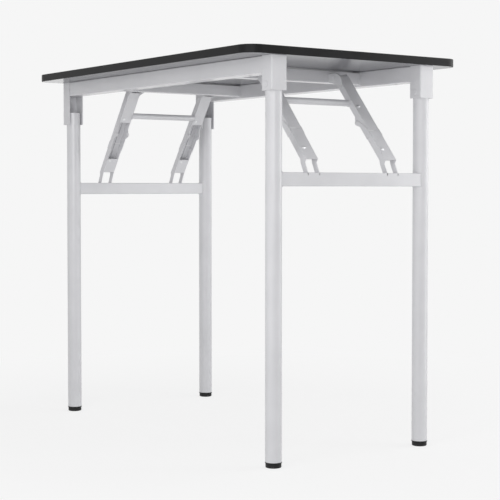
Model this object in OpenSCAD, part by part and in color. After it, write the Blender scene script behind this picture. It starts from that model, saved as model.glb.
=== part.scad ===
// Folding computer desk: a black board on a light steel frame whose two leg
// frames fold up under it, each held open by a pair of jointed braces.
// Right is +X, front is -Y, the floor is z = 0.

/* [Top] */
// Length of the table top
top_l = 800; // [780:10:1200]
// Depth of the table top
top_w = 500; // [480:10:600]
// Height of the working surface above the floor
top_h = 743; // [700:1:760]
// Total thickness of the board
top_t = 15; // [15:1:18]
// Radius of the vertical corners
corner_r = 30; // [15:1:60]

/* [Frame] */
// Width and height of the square long rails
rail_s = 30; // [30:1:31]
// Width of the cross rails
cross_w = 20; // [18:1:22]
// Height of the cross rails
cross_h = 24; // [23:0.5:24.5]
// Distance of a long rail's middle in from the long edge of the top
rail_inset = 75; // [60:1:85]
// Distance of the right cross rail's outer face in from the leg axes
reach_right = 162; // [160:0.5:164]
// Distance of the left cross rail's outer face in from the leg axes
reach_left = 148.5; // [147:0.5:150]

/* [Legs] */
// Diameter of the leg tubes
leg_d = 30; // [30:0.1:30.2]
// Distance of a leg's axis in from the end of the top
leg_inset = 28; // [28:1:40]
// Depth of the right leg pivots under the board
drop_right = 50.5; // [50:0.25:51]
// Depth of the left leg pivots under the board, one tube lower
drop_left = 81.5; // [81:0.25:82]
// Depth of the right crossbar's middle under the right leg pivots
bar_drop_right = 166.5; // [166:0.5:167]
// Depth of the left crossbar's middle under the left leg pivots
bar_drop_left = 151.7; // [151.3:0.2:152.1]
// Height of the black foot caps
foot_h = 10; // [8:0.5:14]

/* [Braces] */
// Distance of a brace from the middle, across the top
brace_y = 94; // [90:1:100]
// Width of the brace channels
brace_w = 27.2; // [26.8:0.1:27.6]
// Depth of the brace channels
channel_h = 13.5; // [13:0.1:13.8]
// Diameter of the tie rods
tie_d = 12.6; // [10:0.2:13]
// Distance of the right tie rod from the arm pivots, along the brace
tie_right = 66.6; // [65:0.2:68]
// Distance of the left tie rod from the arm pivots, along the brace
tie_left = 68; // [66:0.2:68.4]

/* [Hidden] */
$fn = 48;

// Board build-up
lam_t = 0.8;
band_t = 2;
band_r = 1.2;
board_z0 = top_h - top_t;

// Places of the legs and cross rails
leg_x = top_l / 2 - leg_inset;
leg_y = top_w / 2 - rail_inset;
cross_right = leg_x - reach_right;
cross_left = leg_x - reach_left;
pivot_right = board_z0 - drop_right;
pivot_left = board_z0 - drop_left;
bar_right = pivot_right - bar_drop_right;
bar_left = pivot_left - bar_drop_left;

// Frame
rail_t = 1.5;
rail_z1 = board_z0;
rail_z0 = rail_z1 - rail_s;
rail_in_y = leg_y + rail_s / 2 - rail_s;
cross_gap = 2;
cross_z1 = rail_z1 - cross_gap;
cross_z0 = cross_z1 - cross_h;
cross_t = 1.2;
tube_r = 1.8;

// Leg brackets
leg_r = leg_d / 2;
leg_t = 1.5;
brk_gap = 0.2;
brk_t = 1.5;
brk_bend = 0.6;
brk_in = leg_r + brk_gap;
brk_out = brk_in + brk_t;
brk_web = leg_x + leg_r + 0.3;
brk_x0 = leg_x - 12;
brk_below = 11;
rail_end = brk_web - 0.3;
rail_l = 2 * rail_end;

// Leg pivot pins
pin_d = 8;
pin_fit = 0.05;
pin_head = 11;
pin_head_t = 0.7;

// Crossbars
bar_w = 20;
bar_h = 25;
bar_t = 1.5;
bar_x = leg_x + 2;

// Board screws
screw_d = 4;
screw_head = 8;
screw_margin = 72;
screw_end = leg_x - screw_margin;
screw_x = [-screw_end, -screw_end / 3, screw_end / 3, screw_end];

// Brace channels. Each brace has a frame of its own: d runs down and outward
// from the arm pivot, n is the outward face, and the zero is the arm pivot.
tilt_right = 40.36;
tilt_left = 34.34;
arm_u = 16.6;
arm_z = board_z0 - 18.2;
face_h = 11;
free_h = face_h - channel_h;
arm_t = 1.2;
arm_out = brace_w / 2;
arm_in = arm_out - arm_t;
arm_pin = 6;
tie_h = 0.3;
rivet_y = -5.6;
rivet_d = 3.4;
rivet_close = 1;
arm_web_rivet = 84.2;
arm_plate_rivet = 75.4;
link_web_rivet = 194.4;
link_plate_rivet = 184.6;
arm_top = 5;
arm_plate0 = 8;
arm_plate1 = 84;
link_plate0 = 179;

// Knee joint. The ears of the lower link lie outside the upper arm.
knee_d = 113;
knee_h = -5;
knee_pin = 5;
lobe_r = 4.8;
ear_in = arm_out + 0.3;
ear_out = ear_in + arm_t;
ear_end = 158;
tail_d = 147;
butt = 0.5;
lap = 2.2;
link_d0 = tail_d + 5;

// Brace mounts on the cross rails
mount_in = arm_out + 0.3;
mount_t = 2;
mount_out = mount_in + mount_t;
mount_reach = 23.5;

// Tines of the lower links and their pins in the crossbars
link_pin = 4.5;
link_px = 1.8;
link_pz = bar_h / 2 - 4.6;
tine_r = 4.7;
end_gap = 24;
slot_w = arm_t + 1.2;
slot_in = 5.3;
slot_drop = 4.7;
plate_y = arm_out + 2.2;

// Helpers
module slab(y0, y1) {
    translate([0, y1, 0]) rotate([90, 0, 0]) linear_extrude(y1 - y0) children();
}
module pin_y(x, z, d, y0, y1) {
    translate([x, y1, z]) rotate([90, 0, 0]) cylinder(d = d, h = y1 - y0);
}
module round_rect(l, w, r, h) {
    linear_extrude(h) offset(r) square([l - 2 * r, w - 2 * r], center = true);
}
module tube_x(l, w, h, t, r) {
    rotate([90, 0, 90]) linear_extrude(l, center = true) difference() {
        offset(r) square([w - 2 * r, h - 2 * r], center = true);
        offset(r / 4) square([w - 2 * t - r / 2, h - 2 * t - r / 2], center = true);
    }
}

// Board
module tabletop_board() {
    color("BurlyWood") difference() {
        translate([0, 0, board_z0 + lam_t])
            round_rect(top_l - 2 * band_t, top_w - 2 * band_t, corner_r - band_t,
                top_t - 2 * lam_t);
        for (x = screw_x) {
            for (s = [-1, 1]) {
                translate([x, s * leg_y, board_z0 - 1]) cylinder(d = screw_d, h = 11.2);
            }
        }
    }
}
module top_laminate() {
    color("Black") translate([0, 0, top_h - lam_t])
        round_rect(top_l - 2 * band_t, top_w - 2 * band_t, corner_r - band_t, lam_t);
}
module underside_laminate() {
    color("Silver") difference() {
        translate([0, 0, board_z0])
            round_rect(top_l - 2 * band_t, top_w - 2 * band_t, corner_r - band_t, lam_t);
        for (x = screw_x) {
            for (s = [-1, 1]) {
                translate([x, s * leg_y, board_z0 - 1]) cylinder(d = screw_d, h = 3);
            }
        }
    }
}
module band_section() {
    polygon([[0, 0], [band_t - band_r, 0], [band_t - band_r * 0.5, band_r * 0.134],
        [band_t - band_r * 0.134, band_r * 0.5], [band_t, band_r],
        [band_t, top_t - band_r], [band_t - band_r * 0.134, top_t - band_r * 0.5],
        [band_t - band_r * 0.5, top_t - band_r * 0.134], [band_t - band_r, top_t],
        [0, top_t]]);
}
module edge_band() {
    ri = corner_r - band_t;
    cx = top_l / 2 - corner_r;
    cy = top_w / 2 - corner_r;
    color("DimGray") translate([0, 0, board_z0]) {
        for (q = [[1, 1, 0], [-1, 1, 90], [-1, -1, 180], [1, -1, 270]]) {
            translate([q[0] * cx, q[1] * cy, 0]) rotate([0, 0, q[2]])
                rotate_extrude(angle = 90, $fn = 96) translate([ri, 0]) band_section();
        }
        for (s = [0, 1]) {
            rotate([0, 0, 180 * s]) {
                translate([top_l / 2 - band_t, cy, 0]) rotate([90, 0, 0])
                    linear_extrude(2 * cy) band_section();
                translate([-cx, top_w / 2 - band_t, 0]) rotate([90, 0, 90])
                    linear_extrude(2 * cx) band_section();
            }
        }
    }
}

// Frame rails
module long_rail(s) {
    color("WhiteSmoke") difference() {
        translate([0, s * leg_y, (rail_z0 + rail_z1) / 2])
            tube_x(rail_l, rail_s, rail_s, rail_t, tube_r);
        for (x = screw_x) {
            translate([x, s * leg_y, rail_z0 - 1]) cylinder(d = 10, h = rail_t + 2);
            translate([x, s * leg_y, rail_z1 - 4]) cylinder(d = screw_d + 0.6, h = 5);
        }
    }
}
module cross_rail(x) {
    color("WhiteSmoke") translate([x, 0, (cross_z0 + cross_z1) / 2]) rotate([0, 0, 90])
        tube_x(2 * rail_in_y, cross_w, cross_h, cross_t, tube_r);
}
module rail_screws() {
    color("Silver") for (x = screw_x) {
        for (s = [-1, 1]) {
            translate([x, s * leg_y, rail_z1 - rail_t - 2]) cylinder(d = screw_head, h = 2);
            translate([x, s * leg_y, rail_z1 - rail_t - 0.5]) cylinder(d = screw_d, h = 11.5);
        }
    }
}

// Leg brackets, a bent channel open toward the middle. ex is the end, sy the side.
module leg_bracket(ex, sy, pz) {
    w = 2 * brk_out;
    l = brk_web + brk_t - brk_x0;
    z0 = pz - brk_below;
    color("WhiteSmoke") difference() {
        translate([ex * (brk_x0 + l / 2), sy * leg_y, z0]) linear_extrude(rail_z1 - z0)
            difference() {
                union() {
                    offset(2.5) square([l - 5, w - 5], center = true);
                    translate([-ex * l / 4, 0]) square([l / 2, w], center = true);
                }
                translate([-ex * (brk_t / 2 + 1), 0]) union() {
                    offset(brk_bend) square([l - brk_t + 2 - 2 * brk_bend,
                        2 * brk_in - 2 * brk_bend], center = true);
                    translate([-ex * l / 4, 0]) square([l / 2 + 1, 2 * brk_in], center = true);
                }
            }
        pin_y(ex * leg_x, pz, pin_d, sy * leg_y - leg_d, sy * leg_y + leg_d);
    }
}
module leg_pivot_pins(ex, pz) {
    color("WhiteSmoke") for (s = [-1, 1]) {
        pin_y(ex * leg_x, pz, pin_d, s * leg_y - brk_out - 0.1, s * leg_y + brk_out + 0.1);
        pin_y(ex * leg_x, pz, pin_head, s * leg_y + brk_out,
            s * leg_y + brk_out + pin_head_t);
        pin_y(ex * leg_x, pz, pin_head, s * leg_y - brk_out - pin_head_t,
            s * leg_y - brk_out);
    }
}

// Leg frames. The outer half of a tube's top is rounded to pass the bracket, and
// the inner half is cut level, as high as clears the long rail.
function level_cut(pz) = min(leg_r, sqrt(pow(rail_z0 - pz - 0.5, 2) - leg_r * leg_r));
module leg_tube(ex, sy, pz) {
    color("WhiteSmoke") difference() {
        translate([ex * leg_x, sy * leg_y, foot_h]) cylinder(d = leg_d, h = pz - foot_h);
        translate([ex * leg_x, sy * leg_y, foot_h - 1])
            cylinder(d = leg_d - 2 * leg_t, h = pz - foot_h + 2);
        pin_y(ex * leg_x, pz, pin_d + 2 * pin_fit, sy * leg_y - leg_d, sy * leg_y + leg_d);
    }
    color("WhiteSmoke") difference() {
        intersection() {
            translate([ex * leg_x, sy * leg_y, pz]) cylinder(d = leg_d, h = leg_r);
            union() {
                pin_y(ex * leg_x, pz, leg_d, sy * leg_y - leg_d, sy * leg_y + leg_d);
                translate([ex * (leg_x - leg_r), sy * leg_y, pz + level_cut(pz) / 2])
                    cube([leg_d, 2 * leg_d, level_cut(pz)], center = true);
            }
        }
        translate([ex * leg_x, sy * leg_y, pz - 1]) cylinder(d = leg_d - 2 * leg_t, h = leg_d);
        pin_y(ex * leg_x, pz, pin_d + 2 * pin_fit, sy * leg_y - leg_d, sy * leg_y + leg_d);
    }
}
module foot_cap(ex, sy) {
    b = leg_r - 0.7;
    color("Black") translate([ex * leg_x, sy * leg_y, 0]) rotate_extrude($fn = 64)
        polygon([[0, 0], [b - 1.6, 0], [b - 0.5, 0.5], [b, 1.6], [b, foot_h - 2.2],
            [leg_r + 0.2, foot_h - 1.8], [leg_r + 0.2, foot_h], [leg_r - leg_t - 0.05, foot_h],
            [leg_r - leg_t - 0.05, foot_h + 16], [leg_r - leg_t - 1, foot_h + 18],
            [leg_r - leg_t - 3, foot_h + 18], [leg_r - leg_t - 3, foot_h + 1], [0, foot_h + 1]]);
}
module crossbar(ex, bz) {
    color("WhiteSmoke") difference() {
        translate([ex * bar_x, 0, bz]) rotate([0, 0, 90])
            tube_x(2 * leg_y, bar_w, bar_h, bar_t, tube_r);
        for (s = [-1, 1]) {
            translate([ex * leg_x, s * leg_y, bz - bar_h]) cylinder(d = leg_d, h = 2 * bar_h);
            for (t = [-1, 1]) {
                translate([ex * (bar_x + (bar_w / 2 + 1 - slot_in) / 2),
                    s * brace_y + t * (arm_out + arm_in) / 2, bz + bar_h / 2])
                    cube([bar_w / 2 + 1 + slot_in, slot_w, 2 * slot_drop], center = true);
            }
        }
    }
}
module hinge_plates(ex, bz) {
    pw = bar_w - 2 * bar_t - 0.5;
    ph = bar_h - 2 * bar_t - 0.5;
    color("Silver") for (s = [-1, 1]) {
        for (t = [-1, 1]) {
            difference() {
                translate([ex * bar_x, s * brace_y + t * plate_y, bz])
                    cube([pw, 2, ph], center = true);
                pin_y(ex * (bar_x + link_px), bz + link_pz, link_pin,
                    s * brace_y - 2 * plate_y, s * brace_y + 2 * plate_y);
            }
        }
    }
}
module link_pins(ex, bz) {
    color("Silver") for (s = [-1, 1]) {
        pin_y(ex * (bar_x + link_px), bz + link_pz, link_pin,
            s * brace_y - plate_y - 2, s * brace_y + plate_y + 2);
    }
}

// Children are drawn with d as x and n as z, about the middle of one brace
module brace_at(ex, sy, cx, tilt) {
    translate([0, sy * brace_y, 0]) scale([ex, 1, 1]) translate([cx + arm_u, 0, arm_z])
        rotate([0, 90 - tilt, 0]) children();
}

// Brace mounts, a bent bracket whose ears hold the arm pivot. The ear on the
// side of the desk's middle is the larger one.
module brace_mount(ex, sy, cx) {
    h0 = cross_z0 + 1 - arm_z;
    h1 = cross_z1 - 7 - arm_z;
    color("WhiteSmoke") difference() {
        translate([0, sy * brace_y, 0]) scale([ex, 1, 1]) translate([cx + arm_u, 0, arm_z]) {
            for (t = [-1, 1]) {
                y0 = t > 0 ? mount_in : -mount_out;
                slab(y0, y0 + mount_t) polygon(concat([[-arm_u, h0 + 2.5],
                    [-arm_u + 1, h0 + 0.7], [-arm_u + 3, h0]], t == sy ?
                    [[-5, -8.2], [0, -9], [5, -7.6], [8, -4.2], [9, 0], [8, 4.2], [4, h1]] :
                    [[6, -12], [15, -16], [mount_reach - 4.5, -17.8], [mount_reach - 1.5, -18],
                    [mount_reach, -16.6], [mount_reach, -5], [mount_reach - 2, 1],
                    [mount_reach - 7.5, 5.5], [8, h1]],
                    [[-arm_u + 3, h1], [-arm_u + 1, h1 - 0.7], [-arm_u, h1 - 2.5]]));
            }
            translate([-arm_u, -mount_out, h0 + 2.5]) cube([mount_t, 2 * mount_out,
                h1 - h0 - 5]);
        }
        pin_y(ex * (cx + arm_u), arm_z, arm_pin, sy * brace_y - mount_out - 1,
            sy * brace_y + mount_out + 1);
    }
}
module arm_pins(ex, cx) {
    color("Silver") for (s = [-1, 1]) {
        pin_y(ex * (cx + arm_u), arm_z, arm_pin, s * brace_y - mount_out - 0.1,
            s * brace_y + mount_out + 0.1);
        for (t = [-1, 1]) {
            y0 = t > 0 ? mount_out : -mount_out - 1.2;
            pin_y(ex * (cx + arm_u), arm_z, 10, s * brace_y + y0, s * brace_y + y0 + 1.2);
        }
    }
}

// Upper arms
module rivet_hole(d, n) {
    translate([d, rivet_y, n - 1]) cylinder(d = rivet_d, h = arm_t + 2);
}
module arm_side() {
    difference() {
        union() {
            circle(r = 9.5);
            polygon([[0, -9.3], [14, free_h - 0.6], [20, free_h], [knee_d - 13, free_h],
                [knee_d - 4, knee_h - lobe_r + 1.4], [knee_d + 3, knee_h - lobe_r + 1.2],
                [knee_d + 8, 1], [tail_d - 14, 2.4], [tail_d - lap, face_h - arm_t],
                [tail_d, face_h], [0, face_h]]);
            translate([knee_d, knee_h]) circle(r = lobe_r);
        }
        circle(d = arm_pin + 2 * pin_fit);
        translate([knee_d, knee_h]) circle(d = knee_pin);
    }
}
module upper_arm(ex, sy, cx, tilt) {
    color("WhiteSmoke") difference() {
        brace_at(ex, sy, cx, tilt) {
            slab(arm_in, arm_out) arm_side();
            slab(-arm_out, -arm_in) arm_side();
            slab(-arm_out, arm_out) polygon([[0, face_h - arm_t],
                [tail_d - lap, face_h - arm_t], [tail_d, face_h], [0, face_h]]);
            translate([arm_plate0, -arm_in - 0.1, free_h]) cube([arm_plate1 - arm_plate0,
                2 * arm_in + 0.2, arm_t]);
        }
        brace_at(ex, sy, cx, tilt) {
            rivet_hole(arm_web_rivet, face_h - arm_t);
            rivet_hole(arm_plate_rivet, free_h);
        }
        translate([ex * (cx + arm_u), sy * brace_y, arm_z + arm_top + brace_w])
            cube(2 * brace_w, center = true);
    }
}
// A rivet through the sheet that lies between n and n + arm_t.
module sheet_rivet(d, n) {
    translate([d, rivet_y, n]) rotate_extrude()
        polygon([[0, -rivet_close], [2.5, -rivet_close], [2.9, 0], [rivet_d / 2, 0],
            [rivet_d / 2, arm_t], [3.4, arm_t], [3.2, arm_t + 0.7], [2, arm_t + 1.4],
            [0, arm_t + 1.7]]);
}
module brace_rivets(ex, cx, tilt, d_web, d_plate) {
    color("Silver") for (s = [-1, 1]) brace_at(ex, s, cx, tilt) {
        sheet_rivet(d_web, face_h - arm_t);
        sheet_rivet(d_plate, free_h);
    }
}
module arm_rivets(ex, cx, tilt) {
    brace_rivets(ex, cx, tilt, arm_web_rivet, arm_plate_rivet);
}
module knee_studs(ex, cx, tilt) {
    color("Silver") for (s = [-1, 1]) {
        for (t = [-1, 1]) {
            brace_at(ex, s, cx, tilt) translate([knee_d, 0, knee_h])
                rotate([t * 90, 0, 0]) rotate_extrude()
                    polygon([[0, arm_in - 1.2], [3.6, arm_in - 1.2], [3.8, arm_in - 0.9],
                        [3.8, arm_in], [knee_pin / 2, arm_in], [knee_pin / 2, arm_out],
                        [0, arm_out]]);
        }
    }
}
module tie_rod(ex, cx, tilt, d) {
    l = brace_y - arm_out;
    color("WhiteSmoke") scale([ex, 1, 1]) translate([cx + arm_u, 0, arm_z])
        rotate([0, 90 - tilt, 0]) translate([d, l, tie_h]) rotate([90, 0, 0])
            cylinder(d = tie_d, h = 2 * l);
}

// Lower links. The ears and the channel are drawn in the brace frame down to
// the square end, and the tines in the frame of the crossbar.
function px(cx, tilt, d, n) = cx + arm_u + d * sin(tilt) + n * cos(tilt);
function pz(tilt, d, n) = arm_z - d * cos(tilt) + n * sin(tilt);
function end_d(tilt, n, z) = (arm_z + n * sin(tilt) - z) / cos(tilt);
module link_ear() {
    difference() {
        union() {
            translate([knee_d, knee_h]) circle(r = lobe_r);
            polygon([[knee_d - 3, knee_h - lobe_r + 1], [knee_d + 5, knee_h - lobe_r + 1.6],
                [knee_d + 13, free_h], [ear_end, free_h], [ear_end, face_h - 0.4],
                [ear_end - 15, face_h - 0.4], [knee_d + 16, face_h - 4],
                [knee_d - 1, knee_h + lobe_r - 0.2]]);
        }
        translate([knee_d, knee_h]) circle(d = knee_pin);
    }
}
module ear_foot() {
    polygon([[link_d0 + 0.4, free_h], [ear_end, free_h], [ear_end, face_h - 0.4],
        [link_d0 + 0.4, face_h - 0.4]]);
}
module link_side(cx, tilt, bz) {
    zt = bz + bar_h / 2;
    ze = zt + end_gap;
    df = end_d(tilt, free_h, ze);
    dw = end_d(tilt, face_h, ze);
    xf = px(cx, tilt, df, free_h);
    xw = px(cx, tilt, dw, face_h);
    difference() {
        union() {
            polygon([for (q = [[link_d0, free_h], [df, free_h], [dw, face_h],
                [link_d0, face_h]]) [px(cx, tilt, q[0], q[1]), pz(tilt, q[0], q[1])]]);
            polygon([[xf, ze + 2], [xf, ze], [bar_x - 11.4, zt + 17], [bar_x - 3.6, zt + 0.8],
                [bar_x + link_px - tine_r, bz + link_pz], [bar_x + link_px + tine_r,
                bz + link_pz], [bar_x + 8.6, zt + 0.8], [bar_x + 0.4, zt + 18], [xw - 1, ze],
                [xw - 1, ze + 1]]);
            translate([bar_x + link_px, bz + link_pz]) circle(r = tine_r);
        }
        translate([bar_x + link_px, bz + link_pz]) circle(d = link_pin + 2 * pin_fit);
    }
}
module link_face(cx, tilt, bz, d0, n0, n1) {
    ze = bz + bar_h / 2 + end_gap;
    polygon([for (q = [[d0, n1], [d0, n0], [end_d(tilt, n0, ze), n0],
        [end_d(tilt, n1, ze), n1]]) [px(cx, tilt, q[0], q[1]), pz(tilt, q[0], q[1])]]);
}
module lower_link(ex, sy, cx, tilt, bz) {
    color("WhiteSmoke") difference() {
        union() {
            translate([0, sy * brace_y, 0]) scale([ex, 1, 1]) {
                slab(arm_in, arm_out) link_side(cx, tilt, bz);
                slab(-arm_out, -arm_in) link_side(cx, tilt, bz);
                slab(-arm_out, arm_out)
                    link_face(cx, tilt, bz, tail_d + butt, face_h - arm_t, face_h);
                slab(-arm_in - 0.1, arm_in + 0.1)
                    link_face(cx, tilt, bz, link_plate0, free_h, free_h + arm_t);
            }
            brace_at(ex, sy, cx, tilt) {
                slab(ear_in, ear_out) link_ear();
                slab(-ear_out, -ear_in) link_ear();
                slab(arm_out - 0.1, ear_out) ear_foot();
                slab(-ear_out, -arm_out + 0.1) ear_foot();
            }
        }
        brace_at(ex, sy, cx, tilt) {
            rivet_hole(link_web_rivet, face_h - arm_t);
            rivet_hole(link_plate_rivet, free_h);
        }
    }
}
module link_rivets(ex, cx, tilt) {
    brace_rivets(ex, cx, tilt, link_web_rivet, link_plate_rivet);
}
module knee_rivets(ex, cx, tilt) {
    color("Silver") for (s = [-1, 1]) {
        for (t = [-1, 1]) {
            brace_at(ex, s, cx, tilt) translate([knee_d, 0, knee_h])
                rotate([t * 90, 0, 0]) rotate_extrude()
                    polygon([[0, ear_in], [knee_pin / 2, ear_in], [knee_pin / 2, ear_out],
                        [4, ear_out], [3.8, ear_out + 0.6], [2.4, ear_out + 1],
                        [0, ear_out + 1.1]]);
        }
    }
}

tabletop_board();
top_laminate();
underside_laminate();
edge_band();
long_rail(-1);  // long_rail_front
long_rail(1);  // long_rail_rear
cross_rail(cross_right - cross_w / 2);  // cross_rail_right
cross_rail(cross_w / 2 - cross_left);  // cross_rail_left
leg_bracket(1, -1, pivot_right);  // leg_bracket_front_right
leg_bracket(1, 1, pivot_right);  // leg_bracket_rear_right
leg_bracket(-1, -1, pivot_left);  // leg_bracket_front_left
leg_bracket(-1, 1, pivot_left);  // leg_bracket_rear_left
brace_mount(1, -1, cross_right);  // brace_mount_front_right
brace_mount(1, 1, cross_right);  // brace_mount_rear_right
brace_mount(-1, -1, cross_left);  // brace_mount_front_left
brace_mount(-1, 1, cross_left);  // brace_mount_rear_left
rail_screws();
leg_pivot_pins(1, pivot_right);  // leg_pivot_pins_right
leg_pivot_pins(-1, pivot_left);  // leg_pivot_pins_left
arm_pins(1, cross_right);  // arm_pins_right
arm_pins(-1, cross_left);  // arm_pins_left
leg_tube(1, -1, pivot_right);  // leg_tube_front_right
leg_tube(1, 1, pivot_right);  // leg_tube_rear_right
crossbar(1, bar_right);  // crossbar_right
foot_cap(1, -1);  // foot_cap_front_right
foot_cap(1, 1);  // foot_cap_rear_right
link_pins(1, bar_right);  // link_pins_right
hinge_plates(1, bar_right);  // hinge_plates_right
leg_tube(-1, -1, pivot_left);  // leg_tube_front_left
leg_tube(-1, 1, pivot_left);  // leg_tube_rear_left
crossbar(-1, bar_left);  // crossbar_left
foot_cap(-1, -1);  // foot_cap_front_left
foot_cap(-1, 1);  // foot_cap_rear_left
link_pins(-1, bar_left);  // link_pins_left
hinge_plates(-1, bar_left);  // hinge_plates_left
upper_arm(1, -1, cross_right, tilt_right);  // upper_arm_front_right
upper_arm(1, 1, cross_right, tilt_right);  // upper_arm_rear_right
tie_rod(1, cross_right, tilt_right, tie_right);  // tie_rod_right
knee_studs(1, cross_right, tilt_right);  // knee_studs_right
arm_rivets(1, cross_right, tilt_right);  // arm_rivets_right
upper_arm(-1, -1, cross_left, tilt_left);  // upper_arm_front_left
upper_arm(-1, 1, cross_left, tilt_left);  // upper_arm_rear_left
tie_rod(-1, cross_left, tilt_left, tie_left);  // tie_rod_left
knee_studs(-1, cross_left, tilt_left);  // knee_studs_left
arm_rivets(-1, cross_left, tilt_left);  // arm_rivets_left
lower_link(1, -1, cross_right, tilt_right, bar_right);  // lower_link_front_right
lower_link(1, 1, cross_right, tilt_right, bar_right);  // lower_link_rear_right
knee_rivets(1, cross_right, tilt_right);  // knee_rivets_right
link_rivets(1, cross_right, tilt_right);  // link_rivets_right
lower_link(-1, -1, cross_left, tilt_left, bar_left);  // lower_link_front_left
lower_link(-1, 1, cross_left, tilt_left, bar_left);  // lower_link_rear_left
knee_rivets(-1, cross_left, tilt_left);  // knee_rivets_left
link_rivets(-1, cross_left, tilt_left);  // link_rivets_left
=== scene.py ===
# %% [markdown]
# # A folding desk with a black top
# This lesson dresses a finished CAD model of a folding desk. The solids come
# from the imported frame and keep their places. What is made here is the camera,
# the studio, the finishes, the weld beads that hold the steel together and the
# thin springs inside the braces.
# Every length is in metres, with the origin on the floor under the middle.

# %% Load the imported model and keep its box
import math
import bpy
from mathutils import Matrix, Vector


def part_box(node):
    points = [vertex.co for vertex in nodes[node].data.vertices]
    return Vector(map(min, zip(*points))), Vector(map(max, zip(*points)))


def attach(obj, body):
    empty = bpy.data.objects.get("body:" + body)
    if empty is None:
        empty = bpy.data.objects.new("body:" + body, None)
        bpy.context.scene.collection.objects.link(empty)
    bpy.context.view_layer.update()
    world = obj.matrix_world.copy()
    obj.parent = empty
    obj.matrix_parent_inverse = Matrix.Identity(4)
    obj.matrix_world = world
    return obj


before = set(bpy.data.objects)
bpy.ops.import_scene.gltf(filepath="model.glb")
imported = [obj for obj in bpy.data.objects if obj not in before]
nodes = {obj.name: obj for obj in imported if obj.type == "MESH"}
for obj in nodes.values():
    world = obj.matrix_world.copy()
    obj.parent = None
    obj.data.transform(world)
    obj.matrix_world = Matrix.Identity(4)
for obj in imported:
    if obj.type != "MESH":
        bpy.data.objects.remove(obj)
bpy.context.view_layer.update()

# %% [markdown]
# ## The camera
# The picture was taken from a little above the middle of the legs, with a long
# lens, so the verticals stay nearly upright and the underside shows. A camera
# can be set by eye, but long straight edges show a small error at once. So the
# place, the turn and the focal length were worked out from the corners of the
# desk. A small lens shift keeps the horizon where the picture has it.

# %% Place the camera
camera_data = bpy.data.cameras.new("studio_camera")
camera_data.sensor_width = 36.0
camera_data.lens = 95.30
camera_data.shift_x = 0.0027
camera_data.shift_y = -0.0259
camera_data.clip_end = 100.0
camera = bpy.data.objects.new("studio_camera", camera_data)
camera.location = (2.24674, -1.56529, 0.49435)
LOOK_DOWN, TURN = 2.093, 54.52
camera.rotation_euler = (math.radians(90 - LOOK_DOWN), 0.0, math.radians(TURN))
bpy.context.scene.collection.objects.link(camera)
bpy.context.scene.camera = camera
bpy.context.scene.view_settings.view_transform = "Standard"
print("camera lens", camera_data.lens, "mm at", tuple(camera.location))

# %% [markdown]
# ## Colours and nodes
# Colours are easiest to read as the hex values of a colour chart, but Blender
# works in linear light, so one function turns a chart value into a linear one.
# A second small function adds a shader node, sets its values and joins its
# inputs, and a third starts a material with only its output. Every material
# below is made with these three, so each one reads as a list of its nodes.

# %% Turn a hex colour to linear light
def linear(hex_colour):
    values = [int(hex_colour[i:i + 2], 16) / 255 for i in (1, 3, 5)]
    curve = [v / 12.92 if v <= 0.04045 else ((v + 0.055) / 1.055) ** 2.4 for v in values]
    return (*curve, 1.0)

print("linear #808080 is", round(linear("#808080")[0], 3))

# %% Add a shader node with its settings and links
def add_node(tree, kind, settings=None, values=None, links=None):
    node = tree.nodes.new(kind)
    for name, value in (settings or {}).items():
        setattr(node, name, value)
    for name, value in (values or {}).items():
        node.inputs[name].default_value = value
    for name, socket in (links or {}).items():
        tree.links.new(socket, node.inputs[name])
    return node

print("node helper ready")

# %% Start a material that has only its output
def empty_material(name):
    material = bpy.data.materials.new(name)
    material.use_nodes = True
    tree = material.node_tree
    tree.nodes.clear()
    output = tree.nodes.new("ShaderNodeOutputMaterial")
    return material, tree, output

print("material helper ready")

# %% [markdown]
# ## Powder-coated steel
# The frame is welded from thin steel tube and folded sheet, then sprayed with
# dry paint powder and baked. The coat flows into a skin about 80 microns thick
# with a faint orange-peel ripple, some 2 to 3 mm from crest to crest. To the
# eye that gives a soft sheen with slightly broken highlights, and a tone that
# thins a little at bent edges. The colour is nearly white, and the lamps stay a
# little below full level, so it looks light grey. The sheen is clear enough to
# draw the lamps as soft bands on the tubes. A painted image could carry the
# ripple and the change of tone, but it would stretch at every bend. Two sizes of
# noise in the solid's own space keep their scale and move with the piece.

# %% Make the powder coat
def powder_coated_steel():
    material, tree, output = empty_material("powder_coated_steel")
    place = add_node(tree, "ShaderNodeTexCoord")
    # Slow change of tone, one patch per 60 mm
    drift = add_node(tree, "ShaderNodeTexNoise", values={"Scale": 1 / 0.060, "Detail": 2.0},
                     links={"Vector": place.outputs["Object"]})
    # Orange peel, 2.5 mm from crest to crest
    peel = add_node(tree, "ShaderNodeTexNoise", values={"Scale": 1 / 0.0025, "Detail": 1.0},
                    links={"Vector": place.outputs["Object"]})
    tone = add_node(tree, "ShaderNodeValToRGB", links={"Fac": drift.outputs["Fac"]})
    tone.color_ramp.elements[0].position = 0.30
    tone.color_ramp.elements[0].color = linear("#E0E0E3")
    tone.color_ramp.elements[1].position = 0.70
    tone.color_ramp.elements[1].color = linear("#E5E5E8")
    # Bent edges catch a softer light than the sharp edges of the solids
    edge = add_node(tree, "ShaderNodeBevel", settings={"samples": 6}, values={"Radius": 0.0007})
    ripple = add_node(tree, "ShaderNodeBump", values={"Strength": 0.10, "Distance": 0.00008},
                      links={"Height": peel.outputs["Fac"], "Normal": edge.outputs["Normal"]})
    sheen = add_node(tree, "ShaderNodeMapRange",
                     values={"From Min": 0.3, "From Max": 0.7, "To Min": 0.19, "To Max": 0.22},
                     links={"Value": drift.outputs["Fac"]})
    skin = add_node(tree, "ShaderNodeBsdfPrincipled", values={"IOR": 1.5, "Metallic": 0.0},
                    links={"Base Color": tone.outputs["Color"],
                           "Roughness": sheen.outputs["Result"],
                           "Normal": ripple.outputs["Normal"]})
    tree.links.new(skin.outputs["BSDF"], output.inputs["Surface"])
    return material

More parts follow.
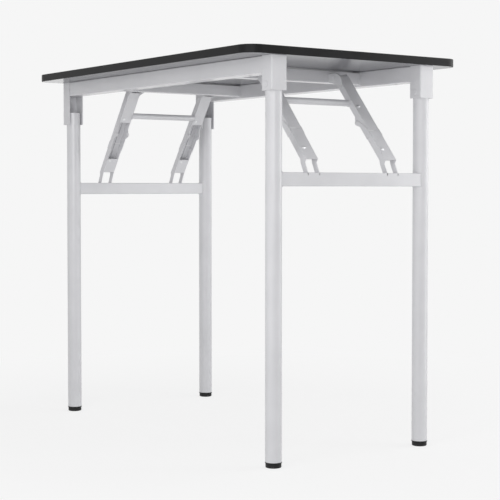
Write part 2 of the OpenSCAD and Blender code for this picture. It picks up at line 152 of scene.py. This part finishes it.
coat = powder_coated_steel()
print("made", coat.name)

# %% [markdown]
# ## Black melamine laminate
# The working surface is paper soaked in melamine resin and pressed onto the
# board against a plate with a fine pebble grain, about 0.6 mm across. It looks
# like matt black with a dusty grey sheen at low angles. Noise would give soft
# clouds, so the pebbles are Voronoi cells, which have clear borders. They are
# drawn coarser than they are, at 1.2 mm, so that they still show from a metre.

# %% Make the working surface
def black_melamine():
    material, tree, output = empty_material("black_melamine")
    place = add_node(tree, "ShaderNodeTexCoord")
    grain = add_node(tree, "ShaderNodeTexVoronoi", values={"Scale": 1 / 0.0012},
                     links={"Vector": place.outputs["Object"]})
    cloud = add_node(tree, "ShaderNodeTexNoise", values={"Scale": 1 / 0.09, "Detail": 3.0},
                     links={"Vector": place.outputs["Object"]})
    tone = add_node(tree, "ShaderNodeValToRGB", links={"Fac": cloud.outputs["Fac"]})
    tone.color_ramp.elements[0].position = 0.30
    tone.color_ramp.elements[0].color = linear("#1C1C1D")
    tone.color_ramp.elements[1].position = 0.70
    tone.color_ramp.elements[1].color = linear("#1F1F20")
    pebble = add_node(tree, "ShaderNodeBump", values={"Strength": 0.20, "Distance": 0.0001},
                      links={"Height": grain.outputs["Distance"]})
    matt = add_node(tree, "ShaderNodeMapRange",
                    values={"From Min": 0.3, "From Max": 0.7, "To Min": 0.49, "To Max": 0.52},
                    links={"Value": cloud.outputs["Fac"]})
    skin = add_node(tree, "ShaderNodeBsdfPrincipled", values={"IOR": 1.55},
                    links={"Base Color": tone.outputs["Color"],
                           "Roughness": matt.outputs["Result"],
                           "Normal": pebble.outputs["Normal"]})
    tree.links.new(skin.outputs["BSDF"], output.inputs["Surface"])
    return material

melamine = black_melamine()
print("made", melamine.name)

# %% [markdown]
# ## Extruded ABS edge band
# The rim is a strip of black ABS plastic, drawn through a die and glued round
# the board. The die leaves faint lines along the strip, under 1 mm apart, and
# the surface has a little shine. The lines could be cut into the mesh, but they
# are far too shallow to change its outline. They run level all the way round,
# so a wave texture with bands across Z draws them, 0.9 mm apart.

# %% Make the edge band
def extruded_abs():
    material, tree, output = empty_material("extruded_black_abs")
    place = add_node(tree, "ShaderNodeTexCoord")
    # A wave texture repeats every 2 pi / 20 units of its scale
    lines = add_node(tree, "ShaderNodeTexWave",
                     settings={"wave_type": "BANDS", "bands_direction": "Z"},
                     values={"Scale": 0.314 / 0.0009, "Distortion": 0.6, "Detail": 1.0},
                     links={"Vector": place.outputs["Object"]})
    smudge = add_node(tree, "ShaderNodeTexNoise", values={"Scale": 1 / 0.035, "Detail": 2.0},
                      links={"Vector": place.outputs["Object"]})
    tone = add_node(tree, "ShaderNodeValToRGB", links={"Fac": smudge.outputs["Fac"]})
    tone.color_ramp.elements[0].position = 0.30
    tone.color_ramp.elements[0].color = linear("#19191A")
    tone.color_ramp.elements[1].position = 0.75
    tone.color_ramp.elements[1].color = linear("#1F1F20")
    die_marks = add_node(tree, "ShaderNodeBump", values={"Strength": 0.06, "Distance": 0.00005},
                         links={"Height": lines.outputs["Fac"]})
    shine = add_node(tree, "ShaderNodeMapRange",
                     values={"From Min": 0.3, "From Max": 0.7, "To Min": 0.34, "To Max": 0.42},
                     links={"Value": smudge.outputs["Fac"]})
    skin = add_node(tree, "ShaderNodeBsdfPrincipled",
                    values={"IOR": 1.52, "Specular IOR Level": 0.13},
                    links={"Base Color": tone.outputs["Color"],
                           "Roughness": shine.outputs["Result"],
                           "Normal": die_marks.outputs["Normal"]})
    tree.links.new(skin.outputs["BSDF"], output.inputs["Surface"])
    return material

abs_band = extruded_abs()
print("made", abs_band.name)

# %% [markdown]
# ## Backing paper
# Under the board a sheet of grey resin paper keeps it from warping. It is
# smooth, a little shiny, and shows the fibres of the paper as a fine cloudy
# mottle, some 4 mm across, longer one way than the other. Single fibres would
# be too thin to see, so noise stretched along X draws the mottle they make.

# %% Make the underside
def resin_backing_paper():
    material, tree, output = empty_material("resin_backing_paper")
    place = add_node(tree, "ShaderNodeTexCoord")
    along = add_node(tree, "ShaderNodeMapping", values={"Scale": (0.35, 1.0, 1.0)},
                     links={"Vector": place.outputs["Object"]})
    fibre = add_node(tree, "ShaderNodeTexNoise", values={"Scale": 1 / 0.004, "Detail": 4.0},
                     links={"Vector": along.outputs["Vector"]})
    tone = add_node(tree, "ShaderNodeValToRGB", links={"Fac": fibre.outputs["Fac"]})
    tone.color_ramp.elements[0].position = 0.25
    tone.color_ramp.elements[0].color = linear("#78787D")
    tone.color_ramp.elements[1].position = 0.75
    tone.color_ramp.elements[1].color = linear("#808084")
    press = add_node(tree, "ShaderNodeBump", values={"Strength": 0.05, "Distance": 0.00005},
                     links={"Height": fibre.outputs["Fac"]})
    skin = add_node(tree, "ShaderNodeBsdfPrincipled",
                    values={"IOR": 1.5, "Specular IOR Level": 0.36, "Roughness": 0.20},
                    links={"Base Color": tone.outputs["Color"], "Normal": press.outputs["Normal"]})
    tree.links.new(skin.outputs["BSDF"], output.inputs["Surface"])
    return material

backing = resin_backing_paper()
print("made", backing.name)

# %% [markdown]
# ## Zinc-plated steel
# Rivets, pins and screws are turned steel with a thin coat of zinc, a pale
# bluish metal, tumbled rather than polished. The light breaks up on it a little
# differently from spot to spot. The real crystals are too fine to see, so
# Voronoi cells 0.8 mm across stand in for them and change tone and roughness
# together. One roughness all over would look like chrome or like grey paint.

# %% Make the zinc
def zinc_plated_steel():
    material, tree, output = empty_material("zinc_plated_steel")
    place = add_node(tree, "ShaderNodeTexCoord")
    crystal = add_node(tree, "ShaderNodeTexVoronoi", values={"Scale": 1 / 0.0008},
                       links={"Vector": place.outputs["Object"]})
    tone = add_node(tree, "ShaderNodeValToRGB", links={"Fac": crystal.outputs["Distance"]})
    tone.color_ramp.elements[0].position = 0.10
    tone.color_ramp.elements[0].color = linear("#F4F5F6")
    tone.color_ramp.elements[1].position = 0.80
    tone.color_ramp.elements[1].color = linear("#E9EAEC")
    tumble = add_node(tree, "ShaderNodeMapRange", values={"To Min": 0.28, "To Max": 0.40},
                      links={"Value": crystal.outputs["Distance"]})
    skin = add_node(tree, "ShaderNodeBsdfPrincipled", values={"Metallic": 1.0},
                    links={"Base Color": tone.outputs["Color"],
                           "Roughness": tumble.outputs["Result"]})
    tree.links.new(skin.outputs["BSDF"], output.inputs["Surface"])
    return material

zinc = zinc_plated_steel()
print("made", zinc.name)

# %% [markdown]
# ## Moulded polyethylene
# The feet are caps of black polyethylene, soft enough to grip a floor. The
# mould is spark-eroded, which leaves a fine even grain and a waxy half-matt
# look. The grain is drawn 0.8 mm across, coarser than it is, so that it shows.
# The lowest few millimetres are scuffed and greyer. The scuffs could be painted
# on by hand, but they only need the height above the floor, which Z gives.

# %% Make the foot plastic
def moulded_polyethylene():
    material, tree, output = empty_material("moulded_black_polyethylene")
    place = add_node(tree, "ShaderNodeTexCoord")
    height = add_node(tree, "ShaderNodeSeparateXYZ", links={"Vector": place.outputs["Object"]})
    grain = add_node(tree, "ShaderNodeTexNoise", values={"Scale": 1 / 0.0008, "Detail": 2.0},
                     links={"Vector": place.outputs["Object"]})
    # Scuffs fade out 4 mm above the floor
    scuff = add_node(tree, "ShaderNodeMapRange",
                     values={"From Min": 0.0, "From Max": 0.004, "To Min": 0.8, "To Max": 0.0},
                     links={"Value": height.outputs["Z"]})
    patch = add_node(tree, "ShaderNodeMath", settings={"operation": "MULTIPLY"},
                     links={0: scuff.outputs["Result"], 1: grain.outputs["Fac"]})
    tone = add_node(tree, "ShaderNodeMix", settings={"data_type": "RGBA"},
                    links={"Factor": patch.outputs["Value"]})
    tone.inputs[6].default_value = linear("#191919")
    tone.inputs[7].default_value = linear("#3A3A3A")
    spark = add_node(tree, "ShaderNodeBump", values={"Strength": 0.15, "Distance": 0.00008},
                     links={"Height": grain.outputs["Fac"]})
    skin = add_node(tree, "ShaderNodeBsdfPrincipled",
                    values={"IOR": 1.51, "Specular IOR Level": 0.25, "Roughness": 0.48},
                    links={"Base Color": tone.outputs[2], "Normal": spark.outputs["Normal"]})
    tree.links.new(skin.outputs["BSDF"], output.inputs["Surface"])
    return material

foot_plastic = moulded_polyethylene()
print("made", foot_plastic.name)

# %% [markdown]
# ## Spring wire
# The thin springs inside the braces are hard-drawn steel wire, galvanised
# before it is drawn. Drawing dulls the zinc to a mid grey and leaves a fine
# grain. Plain metal would glint like a line of light on so thin a wire. The
# grain breaks that up, so tone and bump both follow it. It is drawn 0.3 mm
# across, coarser than it is, so that it does its work at this size.

# %% Make the spring wire
def galvanised_wire():
    material, tree, output = empty_material("galvanised_spring_wire")
    place = add_node(tree, "ShaderNodeTexCoord")
    crystal = add_node(tree, "ShaderNodeTexVoronoi", values={"Scale": 1 / 0.0003},
                       links={"Vector": place.outputs["Object"]})
    tone = add_node(tree, "ShaderNodeValToRGB", links={"Fac": crystal.outputs["Distance"]})
    tone.color_ramp.elements[0].position = 0.10
    tone.color_ramp.elements[0].color = linear("#B4B4B8")
    tone.color_ramp.elements[1].position = 0.80
    tone.color_ramp.elements[1].color = linear("#A2A2A6")
    grit = add_node(tree, "ShaderNodeBump", values={"Strength": 0.2, "Distance": 0.00003},
                    links={"Height": crystal.outputs["Distance"]})
    skin = add_node(tree, "ShaderNodeBsdfPrincipled", values={"Metallic": 1.0, "Roughness": 0.45},
                    links={"Base Color": tone.outputs["Color"], "Normal": grit.outputs["Normal"]})
    tree.links.new(skin.outputs["BSDF"], output.inputs["Surface"])
    return material

wire = galvanised_wire()
print("made", wire.name)

# %% [markdown]
# ## Particleboard core
# Inside the top is board pressed from wood chips and glue. Almost none of it
# can be seen, only the edges of the screw holes, but it gets its chips too.
# They could be modelled one by one, but a Voronoi texture gives every cell its
# own value, so one ramp is enough for chips 3 mm across in several browns.

# %% Make the board core
def particleboard():
    material, tree, output = empty_material("particleboard")
    place = add_node(tree, "ShaderNodeTexCoord")
    chips = add_node(tree, "ShaderNodeTexVoronoi", values={"Scale": 1 / 0.003},
                     links={"Vector": place.outputs["Object"]})
    tone = add_node(tree, "ShaderNodeValToRGB", links={"Fac": chips.outputs["Color"]})
    tone.color_ramp.elements[0].color = linear("#8F7350")
    tone.color_ramp.elements[1].color = linear("#CDB48C")
    press = add_node(tree, "ShaderNodeBump", values={"Strength": 0.3, "Distance": 0.0003},
                     links={"Height": chips.outputs["Distance"]})
    skin = add_node(tree, "ShaderNodeBsdfPrincipled", values={"IOR": 1.5, "Roughness": 0.75},
                    links={"Base Color": tone.outputs["Color"], "Normal": press.outputs["Normal"]})
    tree.links.new(skin.outputs["BSDF"], output.inputs["Surface"])
    return material

core = particleboard()
print("made", core.name)

# %% [markdown]
# ## Give each solid its finish
# The names of the solids say what they are. A list of all of them would do, but
# the start of a name is enough to choose its finish. Whatever is not board,
# trim, plastic or plated steel is part of the painted frame.

# %% Choose a finish by name
FINISHES = [
    ("tabletop_board", core), ("top_laminate", melamine), ("underside_laminate", backing),
    ("edge_band", abs_band), ("foot_cap", foot_plastic), ("rail_screws", zinc),
    ("link_pins", zinc), ("hinge_plates", zinc), ("arm_rivets", zinc), ("link_rivets", zinc)]

def finish_for(name):
    for start, material in FINISHES:
        if name.startswith(start):
            return material
    return coat

print("a leg gets", finish_for("leg_tube_front_right").name)

# %% Put the finishes on
for name, solid in nodes.items():
    solid.data.materials.clear()
    solid.data.materials.append(finish_for(name))
print("dressed", len(nodes), "solids")

# %% [markdown]
# ## Weld beads
# The tubes are joined by MIG welds. A bead is a low ridge of metal that has
# run into the corner between two tubes, with a ripple about every 2 mm where
# the torch moved on, and the powder coat covers it. It is made as a thin tube
# swept along the seam, swelling and shrinking with the ripples, and sunk
# halfway into the corner. A bevelled curve could do the same, but a mesh lets
# the ripples be placed by length. First come three small helpers.

# %% Give a direction the length 1
def unit(direction):
    size = math.sqrt(sum(c * c for c in direction))
    return [c / size for c in direction]

print("(3, 4, 0) becomes", unit((3, 4, 0)))

# %% Find the direction square to two others
def square_to(a, b):
    return [a[1] * b[2] - a[2] * b[1], a[2] * b[0] - a[0] * b[2], a[0] * b[1] - a[1] * b[0]]

print("X and Y give", square_to((1, 0, 0), (0, 1, 0)))

# %% Turn corners and faces into an object
def smooth_object(name, verts, faces, material):
    mesh = bpy.data.meshes.new(name)
    mesh.from_pydata(verts, [], faces)
    mesh.shade_smooth()
    mesh.materials.append(material)
    piece = bpy.data.objects.new(name, mesh)
    bpy.context.scene.collection.objects.link(piece)
    return piece

print("object helper ready")

# %% Lay one ring of corners round each point of a seam
RIPPLE = 0.002
SWELL = 0.10
BEAD_SIDES = 8

def bead_corners(seam, radius):
    verts = []
    length = 0.0
    for i, point in enumerate(seam):
        before, after = seam[i - 1], seam[(i + 1) % len(seam)]
        along = unit([after[k] - before[k] for k in range(3)])
        up = (0.0, 0.0, 1.0) if abs(along[2]) < 0.9 else (0.0, 1.0, 0.0)
        side = unit(square_to(along, up))
        top = square_to(side, along)
        swell = radius * (1.0 + SWELL * math.sin(2 * math.pi * length / RIPPLE))
        for s in range(BEAD_SIDES):
            angle = 2 * math.pi * s / BEAD_SIDES
            verts.append([point[k] + swell * (math.cos(angle) * side[k] + math.sin(angle) * top[k])
                          for k in range(3)])
        length += math.dist(point, after)
    return verts

print("bead ripples every", RIPPLE * 1000, "mm")

# %% Close the rings to a bead that rides on its steel
def weld_bead(name, seam, radius, body):
    faces = []
    for i in range(len(seam)):
        for s in range(BEAD_SIDES):
            ring, next_ring = i * BEAD_SIDES, (i + 1) % len(seam) * BEAD_SIDES
            t = (s + 1) % BEAD_SIDES
            faces.append((ring + s, ring + t, next_ring + t, next_ring + s))
    bead = smooth_object(name, bead_corners(seam, radius), faces, coat)
    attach(bead, body)
    return bead

print("bead helper ready")

# %% Walk round a rounded rectangle in even steps
TUBE_CORNER = 0.0018
CORNER_TURN = 15
SEAM_STEP = 0.0006

def rounded_rectangle(width, height, corner=TUBE_CORNER, step=SEAM_STEP):
    points = []
    for cx, cz, start in ((1, 1, 0), (-1, 1, 90), (-1, -1, 180), (1, -1, 270)):
        for k in range(90 // CORNER_TURN + 1):
            angle = math.radians(start + CORNER_TURN * k)
            points.append((cx * (width / 2 - corner) + corner * math.cos(angle),
                           cz * (height / 2 - corner) + corner * math.sin(angle)))
    even = []
    for a, b in zip(points, points[1:] + points[:1]):
        pieces = max(1, round(math.dist(a, b) / step))
        even += [(a[0] + (b[0] - a[0]) * k / pieces, a[1] + (b[1] - a[1]) * k / pieces)
                 for k in range(pieces)]
    return even

print("a 20 mm square takes", len(rounded_rectangle(0.02, 0.02)), "steps")

# %% Weld the crossbars to the legs
CROSSBAR_BEAD = 0.0013
beads = []
for end in ("right", "left"):
    low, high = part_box("crossbar_" + end)
    leg_low, leg_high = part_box("leg_tube_front_" + end)
    leg_x = (leg_low[0] + leg_high[0]) / 2
    leg_y = abs(leg_low[1] + leg_high[1]) / 2
    leg_r = (leg_high[0] - leg_low[0]) / 2
    mid_x, mid_z = (low[0] + high[0]) / 2, (low[2] + high[2]) / 2
    ring = rounded_rectangle(high[0] - low[0], high[2] - low[2])
    for place, side in (("front", -1), ("rear", 1)):
        seam = []
        for u, v in ring:
            depth = math.sqrt(leg_r ** 2 - (mid_x + u - leg_x) ** 2)
            seam.append((mid_x + u, side * (leg_y - depth), mid_z + v))
        beads.append(weld_bead(f"weld_crossbar_{place}_{end}", seam, CROSSBAR_BEAD,
                               "leg_frame_" + end))
print("beads so far:", len(beads))

# %% Weld the cross rails to the long rails
RAIL_BEAD = 0.0019
for end in ("right", "left"):
    low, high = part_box("cross_rail_" + end)
    mid_x, mid_z = (low[0] + high[0]) / 2, (low[2] + high[2]) / 2
    ring = rounded_rectangle(high[0] - low[0], high[2] - low[2])
    for place, y in (("front", low[1]), ("rear", high[1])):
        seam = [(mid_x + u, y, mid_z + v) for u, v in ring]
        beads.append(weld_bead(f"weld_cross_rail_{place}_{end}", seam, RAIL_BEAD, "top_frame"))
print("beads so far:", len(beads))

# %% Weld the tie rods to the upper arms
ROD_BEAD = 0.0010
ROD_TURN = 5
for end in ("right", "left"):
    low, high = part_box("tie_rod_" + end)
    mid_x, mid_z = (low[0] + high[0]) / 2, (low[2] + high[2]) / 2
    radius = (high[0] - low[0]) / 2
    for place, y in (("front", low[1]), ("rear", high[1])):
        turns = [math.radians(degrees) for degrees in range(0, 360, ROD_TURN)]
        seam = [(mid_x + radius * math.cos(a), y, mid_z + radius * math.sin(a)) for a in turns]
        beads.append(weld_bead(f"weld_tie_rod_{place}_{end}", seam, ROD_BEAD,
                               "upper_arms_" + end))
print("beads:", len(beads))

# %% [markdown]
# ## Knee springs
# Inside every brace a thin wire runs from the rivet of the upper arm to that of
# the lower link, past the knee. It stretches when the brace folds, which a
# solid can't do. A curve drawn from rivet to rivet could ride on one of the two
# only, so each half is a straight rod that turns with its own steel. The halves
# lie side by side, clear of the knee.

# %% Draw a straight wire between two points
WIRE_RADIUS = 0.0009
WIRE_SIDES = 10
WIRE_STEPS = 12

def straight_wire(name, start, end, body):
    along = [(b - a) / math.dist(start, end) for a, b in zip(start, end)]
    side = (along[2], 0.0, -along[0])
    verts, faces = [], []
    for i in range(WIRE_STEPS + 1):
        middle = [a + (b - a) * i / WIRE_STEPS for a, b in zip(start, end)]
        for s in range(WIRE_SIDES):
            angle = 2 * math.pi * s / WIRE_SIDES
            out, across = WIRE_RADIUS * math.cos(angle), WIRE_RADIUS * math.sin(angle)
            verts.append((middle[0] + out * side[0], middle[1] + across, middle[2] + out * side[2]))
    for ring in range(0, WIRE_STEPS * WIRE_SIDES, WIRE_SIDES):
        for s in range(WIRE_SIDES):
            t = (s + 1) % WIRE_SIDES
            faces.append((ring + s, ring + t, ring + WIRE_SIDES + t, ring + WIRE_SIDES + s))
    faces.append(tuple(reversed(range(WIRE_SIDES))))
    faces.append(tuple(range(WIRE_STEPS * WIRE_SIDES, (WIRE_STEPS + 1) * WIRE_SIDES)))
    rod = smooth_object(name, verts, faces, wire)
    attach(rod, body)

print("wire of", WIRE_RADIUS * 2000, "mm")

# %% Hang the springs
# Each end: the rivet of the arm, the knee and the rivet of the link, as x and z
SPRINGS = {"right": ((0.27532, 0.65356), (0.30031, 0.62415), (0.34733, 0.56883)),
           "left": ((-0.28265, 0.64876), (-0.30443, 0.61689), (-0.34538, 0.55694))}
RIVET_ROWS = {"front": -0.0996, "rear": 0.0884}
WIRE_SHIFT = 0.00095
for end, (top, knee, foot) in SPRINGS.items():
    for place, row in RIVET_ROWS.items():
        y = row + WIRE_SHIFT
        straight_wire(f"spring_upper_{place}_{end}", (top[0], y, top[1]), (knee[0], y, knee[1]),
                      "upper_arms_" + end)
        y = row - WIRE_SHIFT
        straight_wire(f"spring_lower_{place}_{end}", (knee[0], y, knee[1]), (foot[0], y, foot[1]),
                      "lower_links_" + end)
print("springs hung:", 2 * len(SPRINGS) * len(RIVET_ROWS))

# %% [markdown]
# ## The studio
# The desk stands on a pale floor in soft light from large boxes, as in a
# catalogue. Two tall boxes stand near the right end, one at each side of the
# camera, and draw the pair of upright bands on every leg. A wide box behind the
# camera and a low one at the left fill the inner sides, one hangs overhead and
# two stand behind. A wrap-round picture of a studio would light the desk in one
# step, but lamps can be moved until each band sits where it should. The camera
# and the reflections see the world as a pale backdrop, and the steel takes
# about a third of its level as even fill light.

# %% Paint the backdrop
BACKDROP = linear("#F6F6F6")
FILL_LEVEL = 0.36
world = bpy.data.worlds.new("studio_world")
bpy.context.scene.world = world
world.use_nodes = True
sky = world.node_tree
sky.nodes.clear()
sky_out = sky.nodes.new("ShaderNodeOutputWorld")
path = add_node(sky, "ShaderNodeLightPath")
seen = add_node(sky, "ShaderNodeMath", settings={"operation": "MAXIMUM"},
                links={0: path.outputs["Is Camera Ray"], 1: path.outputs["Is Glossy Ray"]})
seen_all = add_node(sky, "ShaderNodeMath", settings={"operation": "MAXIMUM"},
                    links={0: seen.outputs["Value"], 1: path.outputs["Is Transmission Ray"]})
ambient = add_node(sky, "ShaderNodeBackground",
                   values={"Color": linear("#FFFFFF"), "Strength": FILL_LEVEL})
backdrop = add_node(sky, "ShaderNodeBackground", values={"Color": BACKDROP, "Strength": 1.0})
blend = add_node(sky, "ShaderNodeMixShader", links={0: seen_all.outputs["Value"],
                 1: ambient.outputs["Background"], 2: backdrop.outputs["Background"]})
sky.links.new(blend.outputs["Shader"], sky_out.inputs["Surface"])
print("world ready")

# %% [markdown]
# ## The floor
# The floor is one sheet with the tone of the backdrop. A shadow catcher could
# stand in for it, but it needs a second picture behind it. Close to the desk a
# share of the paint takes light and shadow, so the feet stand on something.
# That share fades out before the tall boxes, which would light the floor at
# their feet. Beyond it floor and backdrop have one tone, so no horizon shows.

# %% Lay the floor
REACH = 12.0
floor_mesh = bpy.data.meshes.new("studio_floor")
corners = [(-REACH, -REACH, 0), (REACH, -REACH, 0), (REACH, REACH, 0), (-REACH, REACH, 0)]
floor_mesh.from_pydata(corners, [], [(0, 1, 2, 3)])
floor = bpy.data.objects.new("studio_floor", floor_mesh)
bpy.context.scene.collection.objects.link(floor)
print("floor", 2 * REACH, "m wide")

# %% Paint the floor
LIT_SHARE = 0.22
LIT_NEAR, LIT_FAR = 0.55, 1.25
# The lit share is a little darker than the backdrop, and the rest makes up for it
MAKE_UP = 0.39
floor_paint, floor_tree, floor_out = empty_material("painted_studio_floor")
floor_path = add_node(floor_tree, "ShaderNodeLightPath")
floor_place = add_node(floor_tree, "ShaderNodeTexCoord")
from_desk = add_node(floor_tree, "ShaderNodeVectorMath", settings={"operation": "LENGTH"},
                     links={0: floor_place.outputs["Object"]})
share = add_node(floor_tree, "ShaderNodeMapRange",
                 values={"From Min": LIT_NEAR, "From Max": LIT_FAR,
                         "To Min": LIT_SHARE, "To Max": 0.0},
                 links={"Value": from_desk.outputs["Value"]})
unlit = add_node(floor_tree, "ShaderNodeMath", settings={"operation": "SUBTRACT"},
                 values={0: 1.0}, links={1: share.outputs["Result"]})
floor_seen = add_node(floor_tree, "ShaderNodeMath", settings={"operation": "MAXIMUM"},
                      links={0: floor_path.outputs["Is Camera Ray"],
                             1: floor_path.outputs["Is Glossy Ray"]})
tone_seen = add_node(floor_tree, "ShaderNodeMath", settings={"operation": "MULTIPLY"},
                     links={0: unlit.outputs["Value"], 1: floor_seen.outputs["Value"]})
spread = add_node(floor_tree, "ShaderNodeBsdfDiffuse", values={"Color": BACKDROP})
make_up = add_node(floor_tree, "ShaderNodeMath", settings={"operation": "MULTIPLY_ADD"},
                   values={1: MAKE_UP, 2: 1.0}, links={0: share.outputs["Result"]})
tone_only = add_node(floor_tree, "ShaderNodeEmission", values={"Color": BACKDROP},
                     links={"Strength": make_up.outputs["Value"]})
floor_mix = add_node(floor_tree, "ShaderNodeMixShader", links={0: tone_seen.outputs["Value"],
                     1: spread.outputs["BSDF"], 2: tone_only.outputs["Emission"]})
floor_tree.links.new(floor_mix.outputs["Shader"], floor_out.inputs["Surface"])
floor_mesh.materials.append(floor_paint)
print("made", floor_paint.name)

# %% [markdown]
# ## The lamps
# A soft box is a lamp inside a box with a white cloth front. Blender's area lamp
# is just that cloth: a rectangle that glows on one side. A glowing plane would
# look the same, but a lamp gives a cleaner picture with as many samples. Each
# one is given by its place, the point that it faces, its width, its height and
# its power in watts. The camera sees their light and reflections, not the boxes.

# %% Hang a soft box that faces a point
def soft_box(name, place, target, width, height, power):
    data = bpy.data.lights.new(name, "AREA")
    data.shape = "RECTANGLE"
    data.size, data.size_y = width, height
    data.energy = power
    lamp = bpy.data.objects.new(name, data)
    lamp.location = place
    aim = [t - p for t, p in zip(target, place)]
    lamp.rotation_euler = (math.atan2(math.hypot(aim[0], aim[1]), -aim[2]), 0.0,
                           math.atan2(aim[1], aim[0]) - math.pi / 2)
    lamp.visible_camera = False
    bpy.context.scene.collection.objects.link(lamp)

print("soft box helper ready")

# %% Place the soft boxes
SOFT_BOXES = [
    ("overhead_box", (0.0, 0.0, 2.6), (0.0, 0.0, 0.5), 2.4, 2.0, 5.0),
    ("left_tall_box", (0.80, -1.36, 0.88), (0.1, 0.0, 0.88), 0.5, 1.76, 4.7),
    ("right_tall_box", (0.98, 0.90, 0.88), (0.0, 0.0, 0.88), 0.35, 1.76, 4.6),
    ("low_left_box", (-0.3, -2.2, 0.30), (0.0, 0.0, 0.65), 2.0, 0.5, 2.8),
    ("camera_box", (3.0, -2.1, 0.9), (0.0, 0.0, 0.6), 1.8, 1.2, 20.0),
    ("back_left_box", (-2.6, 0.4, 1.2), (0.0, 0.0, 0.6), 1.2, 1.6, 3.0),
    ("rear_box", (0.8, 2.6, 1.2), (0.0, 0.0, 0.6), 1.2, 1.6, 12.4)]
for box in SOFT_BOXES:
    soft_box(*box)
print("lamps:", len(SOFT_BOXES))
